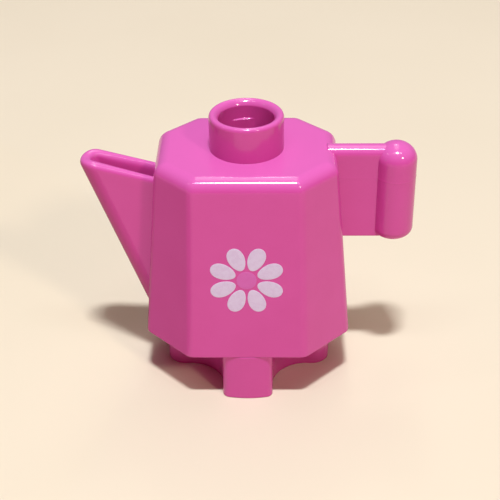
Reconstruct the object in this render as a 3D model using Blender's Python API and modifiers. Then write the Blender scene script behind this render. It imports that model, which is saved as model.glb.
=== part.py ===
"""A toy coffee pot that stands on a large brick stud and carries another stud on its deck.

Five moulded pieces seat in each other: a tapered octagonal shell, a hollow stud, a flat open spout,
a webbed handle and a cross-shaped foot that plugs the shell from below.

Units are metres and +Z is up. The origin is on the ground, on the stud's axis. The front face looks
along -Y, the spout points along -X and the handle along +X.
"""

import math

import bmesh
import bpy
from mathutils import Matrix, Vector

MM = 0.001

# Clearances
SEAM = 0.05 * MM  # between two pieces that seat on each other
FLANK_CLEARANCE = 0.06 * MM  # between the foot's flanks and the neighbouring studs, on the radius
SOCKET_CLEARANCE = 0.05 * MM  # between the foot's socket and the stud in it, on the radius

# Brick grid that the pot stands on
GRID = 16.0 * MM
STUD_D = 9.35 * MM
STUD_H = 4.6 * MM

# Body shell
FOOT_H = 6.7 * MM
BODY_H = 24.95 * MM
BASE_W = 26.75 * MM
BASE_D = 21.6 * MM
BASE_CORNER = 5.9 * MM
DECK_W = 22.5 * MM
DECK_D = 18.5 * MM
DECK_CORNER = 4.5 * MM
WALL = 1.5 * MM
DECK_EDGE = 1.85 * MM
SIDE_EDGE = 0.7 * MM
RIM_EDGE = 0.12 * MM

# Stud cup
STUD_BORE = 6.9 * MM
STUD_BORE_DEPTH = 11.0 * MM
STUD_FLOOR = 1.0 * MM
STUD_LEDGE = 0.1 * MM  # how far the bore steps in at its ledge
STUD_LEDGE_DEPTH = 2.45 * MM
STUD_INNER_EDGE = 0.55 * MM
STUD_OUTER_EDGE = 0.28 * MM
STUD_FILLET = 0.35 * MM
SPIGOT_SHOULDER = 0.6 * MM

# Spout
SPOUT_T = 4.9 * MM
SPOUT_REACH = 9.9 * MM  # from the wall at the lip to the tip
SPOUT_LIP_DROP = 3.4 * MM  # from the deck down to the lip at the wall
SPOUT_LIP_RISE = 2.75 * MM  # from the lip at the wall up to the tip
SPOUT_ROOT_RISE = 1.7 * MM  # from the rim up to the ridge's lower end
SPOUT_EDGE = 0.5 * MM
SLOT_ROOT_W = 2.65 * MM
SLOT_TIP_W = 1.7 * MM
SLOT_TIP_WALL = 1.8 * MM
TONGUE_DROP = 4.0 * MM  # from the lip at the wall down to the tongues
TONGUE_H = 8.0 * MM
TONGUE_SHOULDER = 0.15 * MM
TONGUE_BITE = 1.0 * MM  # how far a tongue is rooted in the spout's side

# Handle
GRIP_D = 5.26 * MM
GRIP_STANDOFF = 6.47 * MM  # from the wall to the grip's axis, at the grip's lower end
GRIP_EDGE = 1.0 * MM
GRIP_RISE = 0.35 * MM  # from the web's upper edge up to the grip's top
WEB_T = 2.4 * MM
WEB_H = 12.7 * MM
WEB_RISE = 0.2 * MM  # from the deck up to the web's upper edge
WEB_LAP = 1.2 * MM  # how far the web's upper edge reaches over the deck's rounded edge
WEB_LIFT = 0.1 * MM  # from the grip's lower end up to the web's lower edge
WEB_ROUNDING = 0.92  # of the web's upper edge, as a share of half its thickness
TENON_SHOULDER = 0.5 * MM
TENON_MARGIN = 3.0 * MM  # from the web's edges to the tenon
TENON_BITE = 1.5 * MM  # how far the tenon is rooted in the web

# Foot base
ARM_BULGE = 0.45 * MM
ARM_EDGE = 0.6 * MM
FOOT_WALL = 1.4 * MM
SOCKET_HEADROOM = 0.5 * MM  # above the stud in the socket
PLUG_H = 1.5 * MM

# Finish, as linear colour
PINK = (0.64, 0.075, 0.31, 1.0)
ROUGHNESS = 0.22

# Facets
OVERCUT = 1.0 * MM  # how far a cutter runs past what it cuts
MOST_ROUNDING = 0.7  # the largest rounding of a wall's edge, as a share of what the wall leaves it
TURN_STEPS = 48
EDGE_STEPS = 4
ARC_STEPS = 6
TINY = 0.001 * MM

# Heights that follow from the sizes above
DECK_Z = FOOT_H + BODY_H
LIP_Z = DECK_Z - SPOUT_LIP_DROP
WEB_TOP_Z = DECK_Z + WEB_RISE
WEB_LOW_Z = WEB_TOP_Z - WEB_H
GRIP_LOW_Z = WEB_LOW_Z - WEB_LIFT
GRIP_TOP_Z = WEB_TOP_Z + GRIP_RISE
SEAT_Z = FOOT_H - SEAM
SPIGOT_R = STUD_D / 2 - SPIGOT_SHOULDER


def clear_scene():
    """Removes every object that the file holds."""
    for obj in list(bpy.data.objects):
        bpy.data.objects.remove(obj, do_unlink=True)


def new_collection(name):
    """A new collection under the scene's own."""
    made = bpy.data.collections.new(name)
    bpy.context.scene.collection.children.link(made)
    return made


def plastic(name):
    """The pot's glossy pink plastic, as a material of its own for one piece."""
    material = bpy.data.materials.new(f"{name}_plastic")
    material.use_nodes = True
    shader = material.node_tree.nodes["Principled BSDF"]
    shader.inputs["Base Color"].default_value = PINK
    shader.inputs["Roughness"].default_value = ROUGHNESS
    shader.inputs["Metallic"].default_value = 0.0
    return material


def add_part(name, mesh, parts):
    """A piece of the pot, shaded smooth up to its real edges."""
    mesh.shade_smooth()
    mesh.set_sharp_from_angle(angle=math.radians(35))
    obj = bpy.data.objects.new(name, mesh)
    obj.data.materials.append(plastic(name))
    parts.objects.link(obj)
    return obj


def add_cutter(name, mesh, cutters):
    """A helper solid for a Boolean, left out of the model itself."""
    obj = bpy.data.objects.new(name, mesh)
    obj.hide_render = True
    obj.display_type = "WIRE"
    cutters.objects.link(obj)
    return obj


def apply_boolean(obj, other, operation):
    """Joins or cuts obj with the helper solid other."""
    modifier = obj.modifiers.new(other.name, "BOOLEAN")
    modifier.operation = operation
    modifier.object = other


def mesh_of(name, bm):
    """The mesh of a closed bmesh, with its faces pointing out."""
    bmesh.ops.recalc_face_normals(bm, faces=bm.faces)
    mesh = bpy.data.meshes.new(name)
    bm.to_mesh(mesh)
    bm.free()
    return mesh


def loft(name, lower, upper):
    """A closed mesh between two rings of as many points."""
    bm = bmesh.new()
    low = [bm.verts.new(point) for point in lower]
    high = [bm.verts.new(point) for point in upper]
    bm.faces.new(low)
    bm.faces.new(high)
    for i in range(len(low)):
        bm.faces.new((low[i - 1], low[i], high[i], high[i - 1]))
    return mesh_of(name, bm)


def box(name, low, high):
    """A box between two opposite corners."""
    size = Vector(high) - Vector(low)
    centre = (Vector(high) + Vector(low)) / 2
    bm = bmesh.new()
    bmesh.ops.create_cube(bm, size=1.0, matrix=Matrix.Translation(centre) @ Matrix.Diagonal(size).to_4x4())
    return mesh_of(name, bm)


def cylinder(name, radius, low_z, high_z):
    """An upright cylinder on the stud's axis."""
    bm = bmesh.new()
    middle = Matrix.Translation((0.0, 0.0, (low_z + high_z) / 2))
    bmesh.ops.create_cone(
        bm,
        cap_ends=True,
        segments=TURN_STEPS,
        radius1=radius,
        radius2=radius,
        depth=high_z - low_z,
        matrix=middle,
    )
    return mesh_of(name, bm)


def arc(centre, radius, start, end, steps=ARC_STEPS):
    """Points on a circle from one angle to another, both ends included."""
    turns = [start + (end - start) * i / steps for i in range(steps + 1)]
    return [(centre[0] + radius * math.cos(a), centre[1] + radius * math.sin(a)) for a in turns]


def turned(name, profile):
    """A mesh with the edges of a (radius, height) profile, to be turned about Z by turn()."""
    mesh = bpy.data.meshes.new(name)
    edges = [(i, i + 1) for i in range(len(profile) - 1)]
    mesh.from_pydata([(r, 0.0, z) for r, z in profile], edges, [])
    return mesh


def turn(obj):
    """Turns the object's profile, which starts and ends on the axis, into a solid."""
    screw = obj.modifiers.new("turn", "SCREW")
    screw.steps = TURN_STEPS
    screw.render_steps = TURN_STEPS
    screw.use_merge_vertices = True
    screw.merge_threshold = TINY


def round_edges(obj, width_of, kind="OFFSET"):
    """Rounds the edges of obj with a Bevel, each by width_of(one end, other end)."""
    mesh = obj.data
    widths = [width_of(*(mesh.vertices[i].co for i in edge.vertices)) for edge in mesh.edges]
    largest = max(widths)
    weights = mesh.attributes.new("bevel_weight_edge", "FLOAT", "EDGE")
    weights.data.foreach_set("value", [width / largest for width in widths])
    bevel = obj.modifiers.new("rounded_edges", "BEVEL")
    bevel.limit_method = "WEIGHT"
    bevel.offset_type = kind
    bevel.width = largest
    bevel.segments = EDGE_STEPS


def section(z, grow=0.0):
    """Half width, half depth and corner cut of the pot's octagon at a height, moved outward by grow."""
    share = (z - FOOT_H) / BODY_H
    half_width = (BASE_W + (DECK_W - BASE_W) * share) / 2 + grow
    half_depth = (BASE_D + (DECK_D - BASE_D) * share) / 2 + grow
    corner = BASE_CORNER + (DECK_CORNER - BASE_CORNER) * share + (2 - math.sqrt(2)) * grow
    return half_width, half_depth, corner


def wall_x(z):
    """Distance of the side walls from the stud's axis at a height."""
    return section(z)[0]


def octagon(z, grow=0.0):
    """The pot's octagon at a height, counter-clockwise from the right wall's front end."""
    x, y, corner = section(z, grow)
    half = [(x, corner - y), (x, y - corner), (x - corner, y), (corner - x, y)]
    return [(a, b, z) for a, b in half] + [(-a, -b, z) for a, b in half]


def body_edge(top_z):
    """The rounding of the pot's octagonal block that ends at top_z, for round_edges()."""

    def width_of(a, b):
        if abs(a.z - b.z) > TINY:
            return SIDE_EDGE
        return DECK_EDGE if abs(a.z - top_z) < TINY else RIM_EDGE

    return width_of


def outside(name, cutters):
    """The pot's outer block, grown by the seam, that trims what seats on a wall."""
    top_z = DECK_Z + SEAM
    trim = add_cutter(name, loft(name, octagon(-OVERCUT, SEAM), octagon(top_z, SEAM)), cutters)
    round_edges(trim, body_edge(top_z))
    return trim


def tongue_corners(side, grow=0.0):
    """Opposite corners of the spout's tongue on one side, or of its slot when grown."""
    side_wall = (SPOUT_T - SLOT_ROOT_W) / 2
    middle_y = side * (SPOUT_T + SLOT_ROOT_W) / 4
    half_y = side_wall / 2 - TONGUE_SHOULDER + grow
    high_z = LIP_Z - TONGUE_DROP
    low_z = high_z - TONGUE_H
    wall = -wall_x((low_z + high_z) / 2)
    low = (wall - TONGUE_BITE, middle_y - half_y, low_z - grow)
    high = (wall + WALL + grow, middle_y + half_y, high_z + grow)
    return low, high


def tenon_corners(grow=0.0):
    """Opposite corners of the handle's tenon, or of its slot when grown."""
    half_y = WEB_T / 2 - TENON_SHOULDER + grow
    low_z = WEB_LOW_Z + TENON_MARGIN - grow
    high_z = WEB_TOP_Z - TENON_MARGIN + grow
    wall = wall_x((low_z + high_z) / 2)
    return (wall - WALL - grow, -half_y, low_z), (wall + TENON_BITE, half_y, high_z)


def make_body_shell(parts, cutters):
    """The tapered octagonal shell: open below, with a hole in the deck and slots in the side walls."""
    shell = add_part("body_shell", loft("body_shell", octagon(FOOT_H), octagon(DECK_Z)), parts)
    round_edges(shell, body_edge(DECK_Z))
    inside = loft("body_core", octagon(FOOT_H - OVERCUT, -WALL), octagon(DECK_Z - WALL, -WALL))
    hole = cylinder("deck_hole", SPIGOT_R + SEAM, DECK_Z - WALL - OVERCUT, DECK_Z + OVERCUT)
    slots = [box(f"tongue_slot_{side:+d}", *tongue_corners(side, SEAM)) for side in (-1, 1)]
    slots.append(box("tenon_slot", *tenon_corners(SEAM)))
    for mesh in (inside, hole, *slots):
        apply_boolean(shell, add_cutter(mesh.name, mesh, cutters), "DIFFERENCE")


def make_stud_cup(parts):
    """The hollow stud: a deep cup with a stepped blind bore, whose spigot goes down through the deck's hole."""
    radius = STUD_D / 2
    bore = STUD_BORE / 2
    low_bore = bore - STUD_LEDGE
    top_z = DECK_Z + STUD_H
    ledge_z = top_z - STUD_LEDGE_DEPTH
    floor_z = top_z - STUD_BORE_DEPTH
    under_z = floor_z - STUD_FLOOR
    fit = min(1.0, MOST_ROUNDING * (radius - bore) / (STUD_INNER_EDGE + STUD_OUTER_EDGE))
    inner = STUD_INNER_EDGE * fit
    outer = STUD_OUTER_EDGE * fit
    quarter = math.pi / 2
    profile = [(0.0, floor_z)]
    profile += arc((low_bore - STUD_FILLET, floor_z + STUD_FILLET), STUD_FILLET, -quarter, 0.0)
    profile += [(low_bore, ledge_z), (bore, ledge_z)]
    profile += arc((bore + inner, top_z - inner), inner, 2 * quarter, quarter)
    profile += arc((radius - outer, top_z - outer), outer, quarter, 0.0)
    profile += [(radius, DECK_Z + SEAM), (SPIGOT_R, DECK_Z + SEAM), (SPIGOT_R, under_z), (0.0, under_z)]
    turn(add_part("stud_cup", turned("stud_cup", profile), parts))


def spout_rings():
    """The spout's horseshoe at its lip, and the same horseshoe slid down the slanting ridge to the rim.

    The outline runs round the outside to the tip and back, then round the slot. Its open ends lie
    inside the shell, where the wall's surface cuts them off.
    """
    wall = -wall_x(LIP_Z)
    tip = wall - SPOUT_REACH
    root_z = FOOT_H + SPOUT_ROOT_RISE
    tip_z = LIP_Z + SPOUT_LIP_RISE
    lean = (-wall_x(root_z) - tip) / (tip_z - root_z)
    inner = wall + WALL + OVERCUT
    half = SPOUT_T / 2
    slot_root = SLOT_ROOT_W / 2
    slot_tip = SLOT_TIP_W / 2
    quarter = math.pi / 2
    plan = [(inner, half)]
    plan += arc((tip + half, 0.0), half, quarter, 3 * quarter, 2 * ARC_STEPS)
    plan += [(inner, -half), (inner, -slot_root), (wall, -slot_root)]
    plan += arc((tip + SLOT_TIP_WALL + slot_tip, 0.0), slot_tip, 3 * quarter, quarter)
    plan += [(wall, slot_root), (inner, slot_root)]
    lip = [(x, y, LIP_Z + SPOUT_LIP_RISE * (wall - x) / SPOUT_REACH) for x, y in plan]
    foot = [(x + lean * (z - FOOT_H), y, FOOT_H) for x, y, z in lip]
    return foot, lip, inner


def make_spout(parts, cutters):
    """The flat spout: an open channel that leans out from the rim to a rising lip."""
    foot, lip, inner = spout_rings()

    rounding = min(SPOUT_EDGE, MOST_ROUNDING * (SPOUT_T - SLOT_ROOT_W) / 2)

    def lip_edge(a, b):
        on_lip = min(a.z, b.z) > FOOT_H + TINY
        outside_shell = min(a.x, b.x) < inner - TINY
        return rounding if on_lip and outside_shell else 0.0

    spout = add_part("spout", loft("spout", foot, lip), parts)
    round_edges(spout, lip_edge, "WIDTH")
    apply_boolean(spout, outside("spout_trim", cutters), "DIFFERENCE")
    for side in (-1, 1):
        mesh = box(f"tongue_{side:+d}", *tongue_corners(side))
        apply_boolean(spout, add_cutter(mesh.name, mesh, cutters), "UNION")


def make_handle(parts, cutters):
    """The handle: a flat web from the wall to a round upright grip with a domed top."""
    grip_x = wall_x(GRIP_LOW_Z) + GRIP_STANDOFF
    radius = GRIP_D / 2
    inner = DECK_W / 2 - WEB_LAP

    def web_edge(a, b):
        along = abs(a.x - b.x) > TINY
        return WEB_ROUNDING * WEB_T / 2 if along and a.z > WEB_TOP_Z - TINY else 0.0

    web = box("handle", (inner, -WEB_T / 2, WEB_LOW_Z), (grip_x, WEB_T / 2, WEB_TOP_Z))
    handle = add_part("handle", web, parts)
    round_edges(handle, web_edge)

    profile = arc((0.0, GRIP_TOP_Z - radius), radius, math.pi / 2, 0.0, 2 * ARC_STEPS)
    profile += arc((radius - GRIP_EDGE, GRIP_LOW_Z + GRIP_EDGE), GRIP_EDGE, 0.0, -math.pi / 2)
    profile += [(0.0, GRIP_LOW_Z)]
    grip = add_cutter("grip", turned("grip", profile), cutters)
    grip.location.x = grip_x
    turn(grip)
    apply_boolean(handle, grip, "UNION")
    apply_boolean(handle, outside("handle_trim", cutters), "DIFFERENCE")
    apply_boolean(handle, add_cutter("tenon", box("tenon", *tenon_corners()), cutters), "UNION")


def arm_half(neck):
    """Half the width of a foot arm, where its flank leaves the clearance round a neighbouring stud."""
    clear = STUD_D / 2 + FLANK_CLEARANCE
    return GRID / 2 - math.sqrt(clear**2 - (GRID / 2 - neck) ** 2)


def cross_plan(reach):
    """The foot's plan: four arms with bulged ends, and between them arcs that clear the next studs."""
    pitch = GRID / 2
    end = reach - ARM_BULGE
    neck = min(pitch, end - ARM_EDGE)
    half = arm_half(neck)
    end_r = (half**2 + ARM_BULGE**2) / (2 * ARM_BULGE)
    spread = math.asin(half / end_r)
    start = math.atan2(half - pitch, neck - pitch)
    arm = arc((reach - end_r, 0.0), end_r, -spread, spread)
    clear = STUD_D / 2 + FLANK_CLEARANCE
    arm += arc((pitch, pitch), clear, start, -1.5 * math.pi - start, 2 * ARC_STEPS)
    plan = []
    for turn_x, turn_y in ((1, 0), (0, 1), (-1, 0), (0, -1)):
        plan += [(x * turn_x - y * turn_y, x * turn_y + y * turn_x) for x, y in arm]
    return plan, end, half


def make_foot_base(parts, cutters):
    """The foot: a hollow cross that clears the studs around it, under a plug that closes the shell."""
    reach = BASE_D / 2
    plan, end, half = cross_plan(reach)

    def arm_corner(a, b):
        upright = abs(a.z - b.z) > TINY
        far = max(abs(a.x), abs(a.y))
        near = min(abs(a.x), abs(a.y))
        at_corner = abs(far - end) < TINY and abs(near - half) < TINY
        return ARM_EDGE if upright and at_corner else 0.0

    cross = loft("foot_base", [(x, y, 0.0) for x, y in plan], [(x, y, SEAT_Z) for x, y in plan])
    foot = add_part("foot_base", cross, parts)
    round_edges(foot, arm_corner)
    fit = -WALL - SEAM
    plug = loft("plug", octagon(SEAT_Z, fit), octagon(FOOT_H + PLUG_H, fit))
    apply_boolean(foot, add_cutter("plug", plug, cutters), "UNION")

    depth = STUD_H + SOCKET_HEADROOM
    hollow = half - FOOT_WALL
    length = reach - FOOT_WALL
    socket = cylinder("socket", STUD_D / 2 + SOCKET_CLEARANCE, -OVERCUT, depth)
    across = box("hollow_x", (-length, -hollow, -OVERCUT), (length, hollow, depth))
    along = box("hollow_y", (-hollow, -length, -OVERCUT), (hollow, length, depth))
    for mesh in (socket, across, along):
        apply_boolean(foot, add_cutter(mesh.name, mesh, cutters), "DIFFERENCE")


def main():
    """Builds the pot from its five pieces."""
    clear_scene()
    parts = new_collection("toy_coffee_pot")
    cutters = new_collection("cutters")
    make_body_shell(parts, cutters)
    make_stud_cup(parts)
    make_spout(parts, cutters)
    make_handle(parts, cutters)
    make_foot_base(parts, cutters)


main()
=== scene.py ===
"""Dresses a toy coffee pot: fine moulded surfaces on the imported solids, a print, and a plain studio.

Units are metres and +Z is up. The origin is on the ground, on the stud's axis. The front face looks
along -Y, the spout points along -X and the handle along +X.
"""

from __future__ import annotations

import logging
import math
from abc import ABC, abstractmethod
from collections.abc import Mapping
from dataclasses import dataclass
from enum import Enum
from typing import ClassVar, Union

import bmesh
import bpy
import numpy as np
from mathutils import Matrix, Vector


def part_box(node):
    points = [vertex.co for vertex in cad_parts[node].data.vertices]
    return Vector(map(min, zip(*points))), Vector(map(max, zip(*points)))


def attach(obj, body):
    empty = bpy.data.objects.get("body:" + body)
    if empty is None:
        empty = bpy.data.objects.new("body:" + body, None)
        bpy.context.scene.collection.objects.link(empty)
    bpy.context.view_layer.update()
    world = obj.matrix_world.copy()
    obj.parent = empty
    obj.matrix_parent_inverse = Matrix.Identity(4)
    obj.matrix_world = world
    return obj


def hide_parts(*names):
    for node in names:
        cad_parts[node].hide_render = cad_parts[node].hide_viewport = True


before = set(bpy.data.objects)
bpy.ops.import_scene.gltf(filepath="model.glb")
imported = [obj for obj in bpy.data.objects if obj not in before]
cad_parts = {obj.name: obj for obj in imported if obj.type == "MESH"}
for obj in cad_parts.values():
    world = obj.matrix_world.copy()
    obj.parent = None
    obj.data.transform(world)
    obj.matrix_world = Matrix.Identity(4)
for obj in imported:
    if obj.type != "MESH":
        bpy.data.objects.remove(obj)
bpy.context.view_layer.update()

LOG = logging.getLogger("toy_coffee_pot")

MM = 0.001
BODY = "root"

# Points closer than this are one point
WELD = 0.0001 * MM

# What keeps a division from meeting zero
TINY = 1e-9

# The middle of a noise that runs from 0 to 1
NOISE_MIDDLE = 0.5

# The attribute that tells how far a point looks up: 1 is straight up and 0 is level
UPWARD = "upward"

# Steps of the grids
TURN_STEPS = 144
ROUND_STEPS = 10
CORNER_STEPS = 12

# Where a flat stretch between two roundings has points, as shares of its length
FLAT_SHARES = np.array([0.02, 0.15, 0.35, 0.5, 0.65, 0.85, 0.98])
NEAR_EDGE = FLAT_SHARES[-1]

Array = np.ndarray
Pair = tuple[float, float]
Triple = tuple[float, float, float]
Colour = Triple
Value = Union["Wire", float, tuple[float, ...]]


def arc(centre: Pair, radius: float, start: float, end: float, steps: int = ROUND_STEPS) -> Array:
    """Points of a circular arc: the centre plus the radius times the cosine and sine of even turns.

    Args:
        centre: The two coordinates of the arc's centre.
        radius: The arc's radius.
        start: The first turn, in degrees.
        end: The last turn, in degrees.
        steps: How many steps lead from the first turn to the last.

    Returns:
        The points, as steps + 1 rows of two coordinates.
    """
    turn = np.radians(np.linspace(start, end, steps + 1))
    return np.array(centre) + radius * np.stack((np.cos(turn), np.sin(turn)), axis=-1)


def oval(width: float, height: float, start: float, end: float, steps: int = ROUND_STEPS) -> Array:
    """Points of a stretch of an ellipse about the origin: an arc of radius 1, stretched along both axes.

    Args:
        width: The ellipse's half width.
        height: The ellipse's half height.
        start: The first turn, in degrees.
        end: The last turn, in degrees.
        steps: How many steps lead from the first turn to the last.

    Returns:
        The points, as steps + 1 rows of two coordinates.
    """
    return arc((0.0, 0.0), 1.0, start, end, steps) * (width, height)


def between(start: float, end: float) -> Array:
    """Values on a flat stretch from one end to the other, at the flat shares of the way."""
    return start + (end - start) * FLAT_SHARES


def paired(first: Array | float, second: Array | float) -> Array:
    """Rows of two coordinates, of which either may be the same in all rows."""
    return np.stack(np.broadcast_arrays(first, second), axis=-1)


def turned(profile: Array, axis_x: float = 0.0) -> Array:
    """A surface of revolution: each (radius, height) of the profile carried round an upright axis.

    Args:
        profile: The profile, as rows of radius and height.
        axis_x: Where the axis crosses the X axis.

    Returns:
        The grid, with a row for each point of the profile and a column for each step of the turn.
    """
    turn = np.linspace(0.0, 2.0 * np.pi, TURN_STEPS, endpoint=False)
    radius = profile[:, :1]
    height = np.broadcast_to(profile[:, 1:], (len(profile), TURN_STEPS))
    return np.stack((axis_x + radius * np.cos(turn), radius * np.sin(turn), height), axis=-1)


def lifted(plan: Array, height: Array | float) -> Array:
    """Points in plan with a height as their third coordinate.

    Args:
        plan: Points whose last axis is x and y.
        height: One height for all points, or an array that matches them.

    Returns:
        The same points with a last axis of x, y and z.
    """
    height = np.broadcast_to(height, plan.shape[:-1])
    return np.concatenate((plan, height[..., None]), axis=-1)


class Skin:
    """Grids of points gathered into the faces of one closed mesh."""

    def __init__(self) -> None:
        """Starts with no points and no faces."""
        self.points: list[Array] = []
        self.faces: list[list[int]] = []
        self.count = 0

    def grid(self, points: Array, along: bool = False, capped: bool = False) -> None:
        """Adds a grid of points, with a face between each four neighbours and its columns closed round.

        Args:
            points: The grid, as rows by columns by xyz.
            along: Whether the last row meets the first.
            capped: Whether the first and the last row are each filled with a face.
        """
        rows, columns = points.shape[:2]
        index = self.count + np.arange(rows * columns).reshape(rows, columns)
        if capped:
            self.faces += [index[0].tolist(), index[-1].tolist()]
        index = np.hstack((index, index[:, :1]))
        if along:
            index = np.vstack((index, index[:1]))
        quads = np.stack((index[:-1, :-1], index[:-1, 1:], index[1:, 1:], index[1:, :-1]), axis=-1)
        self.faces += quads.reshape(-1, 4).tolist()
        self.points.append(points.reshape(-1, 3))
        self.count += rows * columns

    def to_object(self, name: str, material: bpy.types.Material) -> bpy.types.Object:
        """Makes the gathered faces a smooth object, with its poles welded and its faces pointing out.

        How far each point looks up is kept as an attribute, for the finish's painted light on faces that look
        up.

        Args:
            name: The object's name.
            material: The finish that covers it.

        Returns:
            The new object, at the origin.
        """
        mesh = bpy.data.meshes.new(name)
        mesh.from_pydata(np.concatenate(self.points), [], self.faces)
        work = bmesh.new()
        work.from_mesh(mesh)
        bmesh.ops.remove_doubles(work, verts=work.verts, dist=WELD)
        bmesh.ops.recalc_face_normals(work, faces=work.faces)
        work.to_mesh(mesh)
        work.free()
        mesh.shade_smooth()
        normals = np.empty(3 * len(mesh.vertices), np.float32)
        mesh.vertices.foreach_get("normal", normals)
        mesh.attributes.new(UPWARD, "FLOAT", "POINT").data.foreach_set("value", normals[2::3])
        mesh.materials.append(material)
        made = bpy.data.objects.new(name, mesh)
        bpy.context.scene.collection.objects.link(made)
        return made


class Wire:
    """A node's output, with arithmetic that adds Math nodes."""

    def __init__(self, bench: Bench, socket: bpy.types.NodeSocket) -> None:
        """Keeps the output and the bench that its node stands on."""
        self.bench = bench
        self.socket = socket

    def __add__(self, other: Value) -> Wire:
        """The sum of this value and another."""
        return self.bench.math("ADD", self, other)

    def __sub__(self, other: Value) -> Wire:
        """This value less another."""
        return self.bench.math("SUBTRACT", self, other)

    def __rsub__(self, other: Value) -> Wire:
        """Another value less this one."""
        return self.bench.math("SUBTRACT", other, self)

    def __mul__(self, other: Value) -> Wire:
        """The product of this value and another."""
        return self.bench.math("MULTIPLY", self, other)

    __radd__ = __add__
    __rmul__ = __mul__


class Bench:
    """The node tree of a material or of the world, with the nodes that a finish needs."""

    # The Mix node has its sockets once for each kind of data, and these are the ones for colours
    mix_factor: ClassVar[int] = 0
    mix_first: ClassVar[int] = 6
    mix_second: ClassVar[int] = 7
    mix_result: ClassVar[int] = 2

    def __init__(self, tree: bpy.types.NodeTree) -> None:
        """Takes the tree and empties it."""
        self.tree = tree
        tree.nodes.clear()

    def node(
        self,
        kind: str,
        settings: Mapping[str, object] | None = None,
        sockets: Mapping[str | int, Value] | None = None,
    ) -> bpy.types.Node:
        """Adds a node.

        Args:
            kind: The node's type.
            settings: Its properties, which are set first.
            sockets: The value or the link of each input that differs from its default.

        Returns:
            The new node.
        """
        made = self.tree.nodes.new(kind)
        for name, value in (settings or {}).items():
            setattr(made, name, value)
        for key, value in (sockets or {}).items():
            if isinstance(value, Wire):
                self.tree.links.new(value.socket, made.inputs[key])
            else:
                made.inputs[key].default_value = value
        return made

    def wire(self, made: bpy.types.Node, outlet: str | int = 0) -> Wire:
        """One output of a node."""
        return Wire(self, made.outputs[outlet])

    def math(self, operation: str, first: Value, second: Value) -> Wire:
        """The result of a Math node on two values."""
        return self.wire(self.node("ShaderNodeMath", {"operation": operation}, {0: first, 1: second}))

    def place(self, stretch: Triple = (1.0, 1.0, 1.0)) -> Wire:
        """The object's own coordinates, each axis times its stretch."""
        own = self.wire(self.node("ShaderNodeTexCoord"), "Object")
        return self.wire(self.node("ShaderNodeVectorMath", {"operation": "MULTIPLY"}, {0: own, 1: stretch}))

    def noise(self, where: Wire, grain: float, detail: float = 2.0) -> Wire:
        """Smooth noise from 0 to 1 whose blotches are about one grain across."""
        sockets = {"Vector": where, "Scale": 1.0 / grain, "Detail": detail}
        return self.wire(self.node("ShaderNodeTexNoise", None, sockets), "Fac")

    def ramp(self, value: Wire, ends: Pair) -> Wire:
        """A value as a share of the way between two others, with soft ends.

        Args:
            value: The value.
            ends: The values at which the share is 0 and 1.

        Returns:
            The share, held between 0 and 1.
        """
        settings = {"interpolation_type": "SMOOTHSTEP"}
        sockets = {"Value": value, "From Min": ends[0], "From Max": ends[1]}
        return self.wire(self.node("ShaderNodeMapRange", settings, sockets))

    def tint(self, factor: Wire, first: Colour | Wire, second: Colour) -> Wire:
        """A colour between two others.

        Args:
            factor: The share of the second colour, from 0 to 1.
            first: The first colour, or a link to it.
            second: The second colour.

        Returns:
            The mixed colour.
        """
        start = first if isinstance(first, Wire) else (*first, 1.0)
        sockets = {self.mix_factor: factor, self.mix_first: start, self.mix_second: (*second, 1.0)}
        return self.wire(self.node("ShaderNodeMix", {"data_type": "RGBA"}, sockets), self.mix_result)

    def bump(self, height: Wire, depth: float) -> Wire:
        """The surface's normal, disturbed by a height from 0 to 1 that stands for a depth."""
        return self.wire(self.node("ShaderNodeBump", None, {"Height": height, "Distance": depth}))

    def finish(self, sockets: Mapping[str | int, Value]) -> None:
        """Joins a Principled shader with these inputs to the material's output."""
        shader = self.wire(self.node("ShaderNodeBsdfPrincipled", None, sockets))
        self.node("ShaderNodeOutputMaterial", None, {"Surface": shader})


class Finish(ABC):
    """A procedural material that is made once and shared by the pieces that ask for it."""

    name: str

    @abstractmethod
    def lay(self, bench: Bench) -> None:
        """Builds the finish's nodes on a bench."""

    def material(self) -> bpy.types.Material:
        """Makes the finish's material when it is first asked for.

        Returns:
            The material.
        """
        made = bpy.data.materials.get(self.name)
        if made is None:
            made = bpy.data.materials.new(self.name)
            made.use_nodes = True
            self.lay(Bench(made.node_tree))
        return made


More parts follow.
